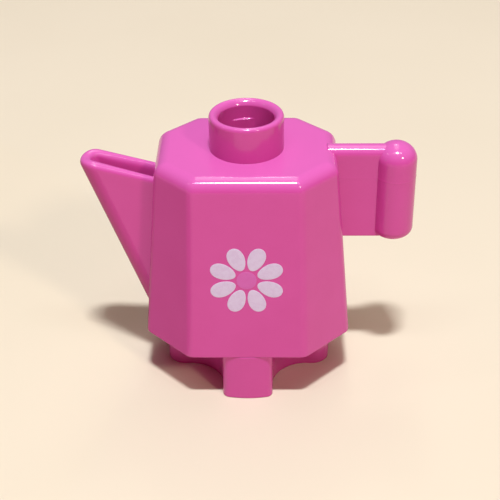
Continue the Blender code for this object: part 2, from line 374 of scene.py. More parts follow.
@dataclass(frozen=True)
class MouldedPlastic(Finish):
    """Glossy coloured plastic: faint clouds of pigment, fine hairlines and a skin that isn't quite flat.

    Faces that look up carry a paler, bluer colour: painted light, as a lamp overhead would leave it.
    """

    name: str
    colour: Colour
    cloud_colour: Colour
    painted_top_light_colour: Colour
    roughness: float = 0.13
    roughness_spread: float = 0.05
    hairline_roughness: float = 0.02
    ior: float = 1.5
    cloud_grain: float = 5.0 * MM
    cloud_share: float = 0.75
    cloud_range: Pair = (0.3, 0.7)
    speck_grain: float = 0.22 * MM
    speck_share: float = 0.25
    painted_top_light_range: Pair = (0.1, 0.9)
    sheen_grain: float = 2.6 * MM
    hairline_grain: float = 0.35 * MM
    hairline_stretch: float = 0.04
    upright_range: Pair = (0.66, 0.74)
    level_range: Pair = (0.68, 0.76)
    ripple_grain: float = 4.5 * MM
    ripple_depth: float = 0.012 * MM
    peel_grain: float = 0.45 * MM
    peel_share: float = 0.06

    def hairlines(self, bench: Bench) -> Wire:
        """A mask of thin handling marks: the peaks of noise drawn out upright and of noise drawn out level.

        Args:
            bench: Where the nodes stand.

        Returns:
            The mask: 0 on plain plastic, 1 on a mark and 2 where two marks cross.
        """
        stretch = self.hairline_stretch
        upright = bench.noise(bench.place((1.0, 1.0, stretch)), self.hairline_grain)
        level = bench.noise(bench.place((stretch, 1.0, 1.0)), self.hairline_grain)
        return bench.ramp(upright, self.upright_range) + bench.ramp(level, self.level_range)

    def painted_top_light(self, bench: Bench) -> Wire:
        """A mask of the painted top light: 1 where the surface looks up, and 0 where it stands upright."""
        upward = bench.wire(bench.node("ShaderNodeAttribute", {"attribute_name": UPWARD}), "Fac")
        return bench.ramp(upward, self.painted_top_light_range)

    def lay(self, bench: Bench) -> None:
        """Builds the finish's nodes.

        Args:
            bench: Where the nodes stand.
        """
        here = bench.place()
        cloud = bench.noise(here, self.cloud_grain, detail=3.0)
        specks = bench.noise(here, self.speck_grain)
        clouds = bench.ramp(cloud * self.cloud_share + specks * self.speck_share, self.cloud_range)
        pigment = bench.tint(clouds, self.colour, self.cloud_colour)
        sheen = bench.noise(here, self.sheen_grain, detail=4.0)
        spread = (sheen - NOISE_MIDDLE) * self.roughness_spread
        marks = self.hairlines(bench) * self.hairline_roughness
        ripple = bench.noise(here, self.ripple_grain, detail=1.0)
        skin = ripple + bench.noise(here, self.peel_grain) * self.peel_share
        # The base colour is painted lighter and bluer on faces that look up: painted light from above.
        bench.finish(
            {
                "Base Color": bench.tint(self.painted_top_light(bench), pigment, self.painted_top_light_colour),
                "Roughness": spread + marks + self.roughness,
                "Normal": bench.bump(skin, self.ripple_depth),
                "IOR": self.ior,
            }
        )


class Ink(Enum):
    """The inks of the print, as linear colours: full, and where the plastic below shows through."""

    WHITE = ((0.70, 0.60, 0.85), (0.665, 0.54, 0.80))
    PINK = ((0.65, 0.122, 0.485), (0.64, 0.112, 0.465))


@dataclass(frozen=True)
class PrintInk(Finish):
    """Thin printed ink: slightly uneven cover, and a surface duller than the plastic."""

    ink: Ink
    roughness: float = 0.34
    roughness_spread: float = 0.1
    cover_grain: float = 0.6 * MM
    cover_share: float = 0.6
    cover_range: Pair = (0.42, 0.62)
    speck_grain: float = 0.12 * MM
    speck_share: float = 0.4
    film_grain: float = 0.2 * MM
    film_depth: float = 0.004 * MM

    @property
    def name(self) -> str:
        """The finish's name, after its ink."""
        return f"print_{self.ink.name.lower()}"

    def lay(self, bench: Bench) -> None:
        """Builds the finish's nodes.

        Args:
            bench: Where the nodes stand.
        """
        here = bench.place()
        patches = bench.noise(here, self.cover_grain, detail=3.0)
        specks = bench.noise(here, self.speck_grain)
        cover = patches * self.cover_share + specks * self.speck_share
        film = bench.noise(here, self.film_grain)
        full, thin = self.ink.value
        bench.finish(
            {
                "Base Color": bench.tint(bench.ramp(cover, self.cover_range), full, thin),
                "Roughness": (cover - NOISE_MIDDLE) * self.roughness_spread + self.roughness,
                "Normal": bench.bump(film, self.film_depth),
            }
        )


@dataclass(frozen=True)
class PaleFloor(Finish):
    """A plain pale matt surface, with a trace of unevenness in its tone."""

    name: str = "pale_floor"
    colour: Colour = (0.745, 0.70, 0.545)
    shade: Colour = (0.725, 0.68, 0.525)
    roughness: float = 0.6
    roughness_spread: float = 0.1
    tone_grain: float = 60.0 * MM
    tone_range: Pair = (0.3, 0.7)

    def lay(self, bench: Bench) -> None:
        """Builds the finish's nodes.

        Args:
            bench: Where the nodes stand.
        """
        tone = bench.noise(bench.place(), self.tone_grain)
        bench.finish(
            {
                "Base Color": bench.tint(bench.ramp(tone, self.tone_range), self.colour, self.shade),
                "Roughness": tone * self.roughness_spread + self.roughness,
            }
        )


@dataclass(frozen=True)
class PotForm:
    """The tapered octagon that the shell, the root of the spout and the foot's plug share.

    Wall k faces 45 k degrees from +X, and its distance from the axis shrinks evenly with height.
    A section is a half width, a half depth and a corner cut.
    """

    rim_z: float
    deck_z: float
    base: Triple
    deck: Triple
    wall: float = 1.5 * MM
    corner_radius: float = 1.6 * MM
    corner_growth: float = 0.3
    base_corner: ClassVar[float] = 5.9 * MM
    deck_section: ClassVar[Triple] = (11.25 * MM, 9.25 * MM, 4.5 * MM)
    walls: ClassVar[int] = 8

    @classmethod
    def fitted(cls) -> PotForm:
        """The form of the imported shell: its box, with the corners and the deck that the box doesn't give."""
        low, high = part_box("body_shell")
        return cls(low.z, high.z, (high.x, high.y, cls.base_corner), cls.deck_section)

    @staticmethod
    def distances(section: Triple) -> Array:
        """The distances of a section's walls from the axis.

        Args:
            section: The half width, the half depth and the corner cut.

        Returns:
            The eight distances, wall by wall.
        """
        half_width, half_depth, corner = section
        slant = (half_width + half_depth - corner) / math.sqrt(2.0)
        return np.tile([half_width, slant, half_depth, slant], 2)

    @property
    def taper(self) -> float:
        """How much nearer the side walls come to the axis for each unit of height."""
        return (self.base[0] - self.deck[0]) / (self.deck_z - self.rim_z)

    def reach(self, z: Array | float) -> Array:
        """The eight walls' distances from the axis at some heights: base and deck, mixed by the share."""
        share = (np.asarray(z, float)[..., None] - self.rim_z) / (self.deck_z - self.rim_z)
        return self.distances(self.base) * (1.0 - share) + self.distances(self.deck) * share

    def rings(self, z: Array, inset: Array) -> Array:
        """Closed outlines of the pot, one for each height, with round corners.

        A corner is an arc about the point where two neighbouring walls would meet if they stood one
        corner radius further in. The radius grows with the inset. Straight stretches join the arcs.

        Args:
            z: The heights.
            inset: How far each outline lies inside the walls.

        Returns:
            The outlines, as rows by columns by x and y.
        """
        step = 360.0 / self.walls
        fold = math.radians(step)
        facing = np.radians(step * np.arange(self.walls))
        radius = self.corner_radius + self.corner_growth * inset
        near = self.reach(z) - radius[:, None]
        across = (np.roll(near, -1, axis=1) - near * math.cos(fold)) / math.sin(fold)
        centre_x = near * np.cos(facing) - across * np.sin(facing)
        centre_y = near * np.sin(facing) + across * np.cos(facing)
        centres = np.stack((centre_x, centre_y), axis=-1)[:, :, None]
        turn = facing[:, None] + np.radians(np.linspace(0.0, step, CORNER_STEPS + 1))
        outward = np.stack((np.cos(turn), np.sin(turn)), axis=-1)
        corners = centres + (radius - inset)[:, None, None, None] * outward
        start = corners[:, :, -1:]
        end = np.roll(corners, -1, axis=1)[:, :, :1]
        flats = start + (end - start) * FLAT_SHARES[:, None]
        return np.concatenate((corners, flats), axis=2).reshape(len(z), -1, 2)


class Moulding(ABC):
    """A moulded sub-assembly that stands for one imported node."""

    node: ClassVar[str]

    @abstractmethod
    def skin(self) -> Skin:
        """The sub-assembly's closed surface."""

    def dress(self, finish: Finish) -> bpy.types.Object:
        """Builds the sub-assembly, covers it and puts it in its node's place.

        Args:
            finish: What covers it.

        Returns:
            The finished piece.
        """
        piece = self.skin().to_object(f"{self.node}_skin", finish.material())
        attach(piece, BODY)
        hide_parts(self.node)
        return piece


@dataclass(frozen=True)
class BodyShell(Moulding):
    """The tapered octagonal shell, open below, with a hole in its deck for the stud."""

    node: ClassVar[str] = "body_shell"

    form: PotForm
    hole_radius: float
    deck_edge: float = 1.85 * MM
    rim_edge: float = 0.15 * MM
    edge_steps: ClassVar[int] = 20

    def outside(self) -> tuple[Array, Array]:
        """Heights and insets of the outer rows: round the deck's edge, down the wall, under the rim.

        The deck's edge is an arc that touches the level deck and the leaning wall. Its inset is the
        radius times (1 / cos lean - cos turn - tan lean sin turn).

        Returns:
            The heights and the insets, row by row from the deck to the rim's inner edge.
        """
        form = self.form
        lean = math.atan(form.taper)
        turn = np.radians(np.linspace(90.0, math.degrees(lean), self.edge_steps + 1))
        edge_z = form.deck_z - self.deck_edge * (1.0 - np.sin(turn))
        edge_inset = self.deck_edge * (1.0 / math.cos(lean) - np.cos(turn) - math.tan(lean) * np.sin(turn))
        low = form.rim_z + self.rim_edge
        wall_z = between(edge_z[-1], low)
        rim = arc((self.rim_edge, low), self.rim_edge, 180.0, 270.0)
        under = form.wall * np.array([NEAR_EDGE, 1.0])
        z = np.concatenate((edge_z, wall_z, rim[:, 1], np.full_like(under, form.rim_z)))
        inset = np.concatenate((edge_inset, np.zeros_like(wall_z), rim[:, 0], under))
        return z, inset

    def deck(self, ring: Array, z: float) -> Array:
        """A level face from the hole out to an outline: a circle and the outline, mixed by the flat shares.

        Args:
            ring: The outline's points in plan.
            z: The face's height.

        Returns:
            The face's rows of points, from the hole outward.
        """
        circle = ring * self.hole_radius / np.linalg.norm(ring, axis=-1, keepdims=True)
        share = np.concatenate(([0.0], FLAT_SHARES))[:, None, None]
        return lifted(circle + (ring - circle) * share, z)

    def skin(self) -> Skin:
        """The shell's surface: over the deck, down the outside, up the inside and back to the hole.

        Returns:
            The closed surface.
        """
        form = self.form
        outer_z, outer_inset = self.outside()
        ceiling_z = form.deck_z - form.wall
        inner_z = form.rim_z + (ceiling_z - form.rim_z) * np.append(FLAT_SHARES, 1.0)
        z = np.concatenate((outer_z, inner_z))
        inset = np.concatenate((outer_inset, np.full_like(inner_z, form.wall)))
        rings = form.rings(z, inset)
        walls = lifted(rings, z[:, None])
        deck = self.deck(rings[0], form.deck_z)
        ceiling = self.deck(rings[-1], ceiling_z)[::-1]
        skin = Skin()
        skin.grid(np.concatenate((deck, walls, ceiling)), along=True)
        return skin


@dataclass(frozen=True)
class StudCup(Moulding):
    """The hollow stud on the deck: a deep cup with a moulding mark in it, and a spigot through the deck."""

    node: ClassVar[str] = "stud_cup"

    form: PotForm
    radius: float
    top_z: float
    bore: float = 3.45 * MM
    bore_depth: float = 11.0 * MM
    floor: float = 1.0 * MM
    mark_drop: float = 2.35 * MM
    mark_x: float = -0.5 * MM
    mark_half: float = 1.1 * MM
    mark_tilt: float = 0.035
    mark_depth: float = 0.2 * MM
    mark_rise: float = 0.12 * MM
    mark_fade: float = 3.0 * MM
    crown: float = 4.25 * MM
    inner_drop: float = 0.68 * MM
    inner_sweep: float = 50.0
    outer_edge: float = 0.5 * MM
    fillet: float = 0.35 * MM
    shoulder: float = 0.6 * MM
    sink: float = 0.02 * MM

    # The close rows at the moulding mark: how many rises below its top they start, and their number
    mark_foot: ClassVar[float] = 2.5
    mark_rows: ClassVar[int] = 29

    @classmethod
    def fitted(cls, form: PotForm) -> StudCup:
        """The stud that fills its node's box."""
        low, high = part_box(cls.node)
        return cls(form, (high.x - low.x) / 2.0, high.z)

    @property
    def spigot(self) -> float:
        """The spigot's radius."""
        return self.radius - self.shoulder

    @property
    def mark_z(self) -> float:
        """The height of the moulding mark's top."""
        return self.top_z - self.mark_drop

    def profile(self) -> Array:
        """The stud's profile: floor, bore, rim, outer wall, spigot.

        The rim's roundings, two stretches of ellipses, start level at its crown. The outer one runs into
        the wall. The inner one stops short of the upright, so that it meets the bore at an edge.

        Returns:
            The profile, as rows of radius and height.
        """
        foot_r = self.bore - self.fillet
        floor_z = self.top_z - self.bore_depth
        low_z = floor_z + self.fillet
        sweep = math.radians(self.inner_sweep)
        inner_width = (self.crown - self.bore) / math.sin(sweep)
        inner_height = self.inner_drop / (1.0 - math.cos(sweep))
        inner = oval(inner_width, inner_height, 90.0 + self.inner_sweep, 90.0)
        outer = oval(self.radius - self.crown, self.outer_edge, 90.0, 0.0)
        under_z = floor_z - self.floor
        seat_z = self.form.deck_z - self.sink
        outer_z = self.top_z - self.outer_edge
        mark_low_z = self.mark_z - self.mark_foot * self.mark_rise
        mark_high_z = self.mark_z + self.mark_rise
        bore_z = (
            between(low_z, mark_low_z),
            np.linspace(mark_low_z, mark_high_z, self.mark_rows),
            between(mark_high_z, self.top_z - self.inner_drop),
        )
        parts = (
            [(0.0, floor_z), (foot_r * NEAR_EDGE, floor_z)],
            arc((foot_r, low_z), self.fillet, -90.0, 0.0),
            paired(self.bore, np.concatenate(bore_z)),
            inner + (self.crown, self.top_z - inner_height),
            outer + (self.crown, outer_z),
            paired(self.radius, between(outer_z, seat_z)),
            [(self.radius, seat_z), (self.spigot, seat_z), (self.spigot, under_z), (0.0, under_z)],
        )
        return np.concatenate(parts)

    def skin(self) -> Skin:
        """The profile turned about its axis, with a short ledge on the back of the bore.

        The ledge moves the wall forward by its depth, times an even step down from its top, a bell
        curve that fades it out below, and a flatter one across.

        Returns:
            The closed surface.
        """
        profile = self.profile()
        grid = turned(profile)
        in_bore = (profile[:, :1] < self.bore + WELD) & (grid[..., 1] > 0.0)
        aside = grid[..., 0] - self.mark_x
        below = self.mark_z + self.mark_tilt * aside - grid[..., 2]
        step = np.clip(below / self.mark_rise, 0.0, 1.0)
        fade = np.exp(-((np.maximum(below, 0.0) / self.mark_fade) ** 2) - (aside / self.mark_half) ** 4)
        grid[..., 1] -= in_bore * self.mark_depth * step * fade
        skin = Skin()
        skin.grid(grid)
        return skin


@dataclass(frozen=True)
class Spout(Moulding):
    """The flat hollow spout: a horseshoe lip, slid down a slanting ridge into the left wall."""

    node: ClassVar[str] = "spout"

    form: PotForm
    thickness: float
    reach: float = 9.69 * MM
    lip_drop: float = 3.37 * MM
    lip_rise: float = 2.70 * MM
    root_rise: float = 2.2 * MM
    slot_root: float = 2.65 * MM
    slot_tip: float = 1.7 * MM
    slot_tip_wall: float = 1.44 * MM
    side_round: float = 0.9 * MM
    slot_round: float = 1.25 * MM
    tip_round: float = 1.0 * MM
    nose_length: float = 2.6 * MM
    nose_drop: float = 0.8 * MM
    lip_flatness: float = 0.75
    embed: float = 0.5 * MM
    side_steps: ClassVar[int] = 24
    tip_steps: ClassVar[int] = 48
    lip_steps: ClassVar[int] = 20

    @classmethod
    def fitted(cls, form: PotForm) -> Spout:
        """The spout as thick as its node's box."""
        low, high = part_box(cls.node)
        return cls(form, high.y - low.y)

    @property
    def lip_z(self) -> float:
        """The height of the lip where it meets the wall."""
        return self.form.deck_z - self.lip_drop

    @property
    def wall_x(self) -> float:
        """Where the wall stands at the lip's height."""
        return -float(self.form.reach(self.lip_z)[0])

    @property
    def tip_x(self) -> float:
        """Where the tip ends."""
        return self.wall_x - self.reach

    @property
    def slide(self) -> Array:
        """The ridge's direction: straight from the tip to a point on the wall just above the rim.

        Returns:
            The direction, for each unit that the ridge goes down.
        """
        foot_z = self.form.rim_z + self.root_rise
        foot_x = -float(self.form.reach(foot_z)[0])
        return np.array([(foot_x - self.tip_x) / (self.lip_z + self.lip_rise - foot_z), 0.0, -1.0])

    def lip_height(self, x: Array | float) -> Array | float:
        """The lip's height: it rises evenly from the wall, less a drop that grows as a square in the nose."""
        nose = np.clip((self.tip_x + self.nose_length - x) / self.nose_length, 0.0, 1.0)
        return self.lip_z + self.lip_rise * (self.wall_x - x) / self.reach - self.nose_drop * nose**2

    def root_x(self) -> float:
        """Where the lip ends: on the plane that lies the embedding deep inside the leaning wall.

        Returns:
            The end's x.
        """
        slope = self.lip_rise / self.reach
        wall_foot = -float(self.form.reach(self.form.rim_z)[0])
        rise = self.lip_z + slope * self.wall_x - self.form.rim_z
        return (self.embed + wall_foot + self.form.taper * rise) / (1.0 + self.form.taper * slope)

    def horseshoe(self, tip_x: float, tip_radius: float, root_half: float) -> Array:
        """A horseshoe on the lip: a straight side, a half circle round the tip and the other side.

        Args:
            tip_x: Where the half circle ends.
            tip_radius: The half circle's radius.
            root_half: How far the sides lie from the middle at the wall.

        Returns:
            Its points, from the front end round the tip to the back end.
        """
        end = tip_x + tip_radius
        share = np.linspace(0.0, 1.0, self.side_steps, endpoint=False)[:, None]
        front_root = np.array([self.root_x(), -root_half])
        front = front_root + (np.array([end, -tip_radius]) - front_root) * share
        round_tip = arc((end, 0.0), tip_radius, -90.0, -270.0, self.tip_steps)
        back = front[::-1] * np.array([1.0, -1.0])
        plan = np.concatenate((front, round_tip, back))
        return lifted(plan, self.lip_height(plan[:, 0]))

    def skin(self) -> Skin:
        """The spout's surface, one closed loop for each point of the lip.

        A loop climbs the outside along the ridge's direction, goes over the lip on two quarters of
        flattened ellipses, the outer one deeper towards the tip, and goes down the slot to the plane
        inside the wall.

        Returns:
            The closed surface.
        """
        half = self.thickness / 2.0
        outer = self.horseshoe(self.tip_x, half, half)
        inner = self.horseshoe(self.tip_x + self.slot_tip_wall, self.slot_tip / 2.0, self.slot_root / 2.0)
        near_tip = np.clip((self.tip_x + self.thickness - outer[:, 0]) / self.thickness, 0.0, 1.0)
        outer_depth = self.side_round + (self.tip_round - self.side_round) * near_tip**2
        inner_depth = self.slot_round * (1.0 - near_tip / 2.0)
        slide = self.slide
        steepness = slide[0] + self.form.taper

        def down(lip: Array, depth: Array) -> Array:
            """The lip's points, each slid down by a row of depths."""
            return lip + depth[..., None] * slide

        def to_wall(lip: Array, start: Array, shares: Array) -> Array:
            """The lip's points slid down towards the plane inside the wall.

            Args:
                lip: The points of the lip.
                start: The depth at which each point starts.
                shares: Shares of the way from there to the plane.

            Returns:
                The points, with a row for each point of the lip and a column for each share.
            """
            gap = self.embed - lip[:, 0] - self.form.reach(lip[:, 2])[:, 0]
            way = np.maximum(gap / steepness, start) - start
            return down(lip[:, None], start[:, None] + way[:, None] * shares)

        climb = np.concatenate(([1.0], FLAT_SHARES[::-1]))
        turn = np.linspace(0.0, np.pi, self.lip_steps + 1)
        across = (1.0 - np.cos(turn)) / 2.0
        fall = 1.0 - np.abs(np.sin(turn)) ** self.lip_flatness
        depth = np.where(turn < np.pi / 2.0, outer_depth[:, None], inner_depth[:, None]) * fall
        lip = outer[:, None] + (inner - outer)[:, None] * across[:, None]
        loops = (
            to_wall(outer, outer_depth, climb),
            down(lip, depth),
            to_wall(inner, inner_depth, climb[::-1]),
        )
        skin = Skin()
        skin.grid(np.concatenate(loops, axis=1), capped=True)
        return skin


@dataclass(frozen=True)
class Handle(Moulding):
    """The handle: a flat web from the right wall to a round upright grip with a domed top."""

    node: ClassVar[str] = "handle"

    form: PotForm
    grip_x: float
    grip_radius: float
    grip_low_z: float
    grip_top_z: float
    grip_edge: float = 1.2 * MM
    dome_rise: float = 2.35 * MM
    web_thickness: float = 2.4 * MM
    web_drop: float = 0.35 * MM
    web_lift: float = 0.1 * MM
    web_top_edge: float = 1.1 * MM
    web_low_edge: float = 0.15 * MM
    embed: float = 1.2 * MM
    parting_drop: float = 4.5 * MM
    grip_bead: float = 0.018 * MM
    web_bead: float = 0.01 * MM
    parting_width: float = 0.09 * MM
    dome_steps: ClassVar[int] = 30

    # The close rows at the parting line, in widths of the line
    parting_rows: ClassVar[Array] = np.linspace(-2.5, 2.5, 11)

    @classmethod
    def fitted(cls, form: PotForm) -> Handle:
        """The handle whose grip fills the outer end of its node's box.

        Args:
            form: The form of the pot.

        Returns:
            The handle.
        """
        low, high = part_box(cls.node)
        radius = (high.y - low.y) / 2.0
        return cls(form, high.x - radius, radius, low.z, high.z)

    @property
    def parting_z(self) -> float:
        """The height of the mould's parting line."""
        return self.grip_top_z - self.parting_drop

    def parting(self, z: Array) -> Array:
        """How near some heights are to the parting line: a narrow bell curve, 1 on the line."""
        return np.exp(-(((z - self.parting_z) / self.parting_width) ** 2))

    def heights(self, low: float, high: float) -> Array:
        """Heights between two ends, with close steps at the parting line."""
        close = self.parting_z + self.parting_width * self.parting_rows
        return np.sort(np.concatenate((between(low, high), close)))

    def grip(self) -> Array:
        """The grip's profile turned about its axis: dome, side with the parting line, rounded foot.

        Returns:
            The grid of the turned profile.
        """
        radius = self.grip_radius
        shoulder_z = self.grip_top_z - self.dome_rise
        foot_z = self.grip_low_z + self.grip_edge
        foot_x = radius - self.grip_edge
        side_z = self.heights(foot_z, shoulder_z)[::-1]
        parts = (
            oval(radius, self.dome_rise, 90.0, 0.0, self.dome_steps) + (0.0, shoulder_z),
            paired(radius + self.grip_bead * self.parting(side_z), side_z),
            arc((foot_x, foot_z), self.grip_edge, 0.0, -90.0),
            [(foot_x * NEAR_EDGE, self.grip_low_z), (0.0, self.grip_low_z)],
        )
        return turned(np.concatenate(parts), self.grip_x)

    def web_outline(self) -> Array:
        """The web's section, a rectangle with round corners: half of it, and its mirror image.

        Returns:
            The section's points, as rows of y and z.
        """
        half = self.web_thickness / 2.0
        top_z = self.grip_top_z - self.web_drop
        low_z = self.grip_low_z + self.web_lift
        top = self.web_top_edge
        low = self.web_low_edge
        side_z = self.heights(low_z + low, top_z - top)
        parts = (
            arc((half - low, low_z + low), low, -90.0, 0.0),
            paired(half + self.web_bead * self.parting(side_z), side_z),
            arc((half - top, top_z - top), top, 0.0, 90.0),
            paired((half - top) * (1.0 - FLAT_SHARES), top_z),
        )
        one_half = np.concatenate(parts)
        return np.concatenate((one_half, one_half[::-1] * np.array([-1.0, 1.0])))

    def web(self) -> Array:
        """The web's section carried from inside the leaning wall to the grip's axis.

        Returns:
            The grid, with a row for each place of the section.
        """
        outline = self.web_outline()
        start = self.form.reach(outline[:, 1])[:, 0] - self.embed
        share = np.concatenate(([0.0], FLAT_SHARES, [1.0]))[:, None]
        x = start + (self.grip_x - start) * share
        section = np.broadcast_to(outline, (*x.shape, 2))
        return np.concatenate((x[..., None], section), axis=-1)

    def skin(self) -> Skin:
        """The web and the grip, which run into each other.

        Returns:
            The two closed surfaces.
        """
        skin = Skin()
        skin.grid(self.web(), capped=True)
        skin.grid(self.grip())
        return skin


@dataclass(frozen=True)
class FootBase(Moulding):
    """The cross-shaped foot with its stud socket, under a plug that closes the shell from below."""

    node: ClassVar[str] = "foot_base"

    form: PotForm
    arm_reach: float
    plug_top_z: float
    grid: float = 16.0 * MM
    stud_radius: float = 4.675 * MM
    stud_height: float = 4.6 * MM
    flank_clearance: float = 0.06 * MM
    socket_clearance: float = 0.05 * MM
    headroom: float = 0.5 * MM
    arm_bulge: float = 0.45 * MM
    arm_edge: float = 1.0 * MM
    side_arm_edge: float = 2.2 * MM
    side_arm_extra: float = 0.2 * MM
    arm_wall: float = 1.4 * MM
    foot_edge: float = 0.14 * MM
    socket_edge: float = 0.15 * MM
    seam: float = 0.05 * MM
    overlap: float = 0.02 * MM
    columns: ClassVar[int] = 720
    arm_steps: ClassVar[int] = 40
    clear_steps: ClassVar[int] = 80

    @classmethod
    def fitted(cls, form: PotForm) -> FootBase:
        """The foot whose arms reach the front and the back of its node's box."""
        low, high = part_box(cls.node)
        return cls(form, (high.y - low.y) / 2.0, high.z)

    @property
    def pitch(self) -> float:
        """How far the neighbouring studs stand from the two axes."""
        return self.grid / 2.0

    @property
    def arm_half(self) -> float:
        """Half the width of an arm, whose straight flank starts level with the neighbouring studs."""
        return self.pitch - self.stud_radius - self.flank_clearance

    @property
    def side_arm_reach(self) -> float:
        """How far the arms to the left and right reach, a little more than the front and back ones."""
        return self.arm_reach + self.side_arm_extra

    def eighth(self, reach: float, edge: float) -> Array:
        """An eighth of the cross, from the middle of an arm's end to the diagonal.

        The end is a shallow arc, its corner a small one, the flank straight, and the stretch to the
        diagonal an arc about the neighbouring stud.

        Args:
            reach: How far the arm reaches.
            edge: The rounding of its corner.

        Returns:
            The eighth's points along the arm and across it.
        """
        half = self.arm_half
        end_radius = (half**2 + self.arm_bulge**2) / (2.0 * self.arm_bulge)
        end_x = reach - end_radius
        corner_y = half - edge
        corner_x = end_x + math.sqrt((end_radius - edge) ** 2 - corner_y**2)
        meet = math.degrees(math.atan2(corner_y, corner_x - end_x))
        clear = self.stud_radius + self.flank_clearance
        parts = (
            arc((end_x, 0.0), end_radius, 0.0, meet, self.arm_steps),
            arc((corner_x, corner_y), edge, meet, 90.0, self.arm_steps),
            arc((self.pitch, self.pitch), clear, -90.0, -135.0, self.clear_steps),
        )
        return np.concatenate(parts)

    def outer_radius(self, turn: Array) -> Array:
        """The cross in polar form: a side arm and a front arm, each an eighth that is mirrored all round.

        Args:
            turn: The turns from +X, in radians.

        Returns:
            How far the cross reaches at each turn.
        """
        quarter = np.pi / 2.0
        folded = np.abs((turn + quarter / 2.0) % quarter - quarter / 2.0)
        arms = (
            self.eighth(self.side_arm_reach, self.side_arm_edge),
            self.eighth(self.arm_reach, self.arm_edge),
        )
        side, front = (
            np.interp(folded, np.arctan2(arm[:, 1], arm[:, 0]), np.linalg.norm(arm, axis=1)) for arm in arms
        )
        return np.where(np.abs(np.cos(turn)) > np.abs(np.sin(turn)), side, front)

    def inner_radius(self, turn: Array) -> Array:
        """The hollow in polar form: the largest of a round socket and two crossing slots.

        Args:
            turn: The turns from +X, in radians.

        Returns:
            How far the hollow reaches at each turn.
        """
        half = self.arm_half - self.arm_wall
        length = self.arm_reach - self.arm_wall
        across = np.abs(np.cos(turn)) + TINY
        along = np.abs(np.sin(turn)) + TINY
        slot_x = np.minimum((length + self.side_arm_extra) / across, half / along)
        slot_y = np.minimum(length / along, half / across)
        return np.maximum(self.stud_radius + self.socket_clearance, np.maximum(slot_x, slot_y))

    def cross(self) -> Array:
        """The foot's surface in polar form, from the middle of its top out, down, under and up the hollow.

        Returns:
            The grid, with a row for each height or inset and a column for each turn.
        """
        turn = np.linspace(0.0, 2.0 * np.pi, self.columns, endpoint=False)
        outer = self.outer_radius(turn)
        inner = self.inner_radius(turn)
        top_z = self.form.rim_z + self.overlap
        ceiling_z = self.stud_height + self.headroom
        edge = self.foot_edge
        lip = self.socket_edge
        foot = arc((-edge, edge), edge, 0.0, -90.0)
        mouth = arc((lip, lip), lip, -90.0, -180.0)
        fillet = arc((-lip, ceiling_z - lip), lip, 0.0, 90.0)
        rows = (
            [(0.0 * outer, top_z), (outer * NEAR_EDGE, top_z), (outer, top_z)],
            [(outer, z) for z in between(top_z, edge)],
            [(outer + inset, z) for inset, z in foot],
            [(inner + inset, z) for inset, z in mouth],
            [(inner + inset, z) for inset, z in fillet],
            [(inner * FLAT_SHARES[-2], ceiling_z), (0.0 * inner, ceiling_z)],
        )
        radius = np.array([row[0] for group in rows for row in group])
        z = np.array([row[1] for group in rows for row in group])
        plan = np.stack((radius * np.cos(turn), radius * np.sin(turn)), axis=-1)
        return lifted(plan, z[:, None])

    def plug(self) -> Array:
        """The plug's surface: a slab inside the shell's wall, from the middle of its top to its underside.

        Returns:
            The grid, with a row for each outline of the slab.
        """
        top_z = self.plug_top_z
        seat_z = self.form.rim_z - self.seam
        side_z = between(top_z, seat_z)
        face = np.array([0.0, NEAR_EDGE, 1.0])
        z = np.concatenate((np.full_like(face, top_z), side_z, np.full_like(face, seat_z)))
        inset = np.full_like(z, self.form.wall + self.seam)
        share = np.concatenate((face, np.ones_like(side_z), face[::-1]))
        return lifted(self.form.rings(z, inset) * share[:, None, None], z[:, None])

    def skin(self) -> Skin:
        """The cross and the plug on top of it.

        Returns:
            The two closed surfaces.
        """
        skin = Skin()
        skin.grid(self.cross())
        skin.grid(self.plug())
        return skin


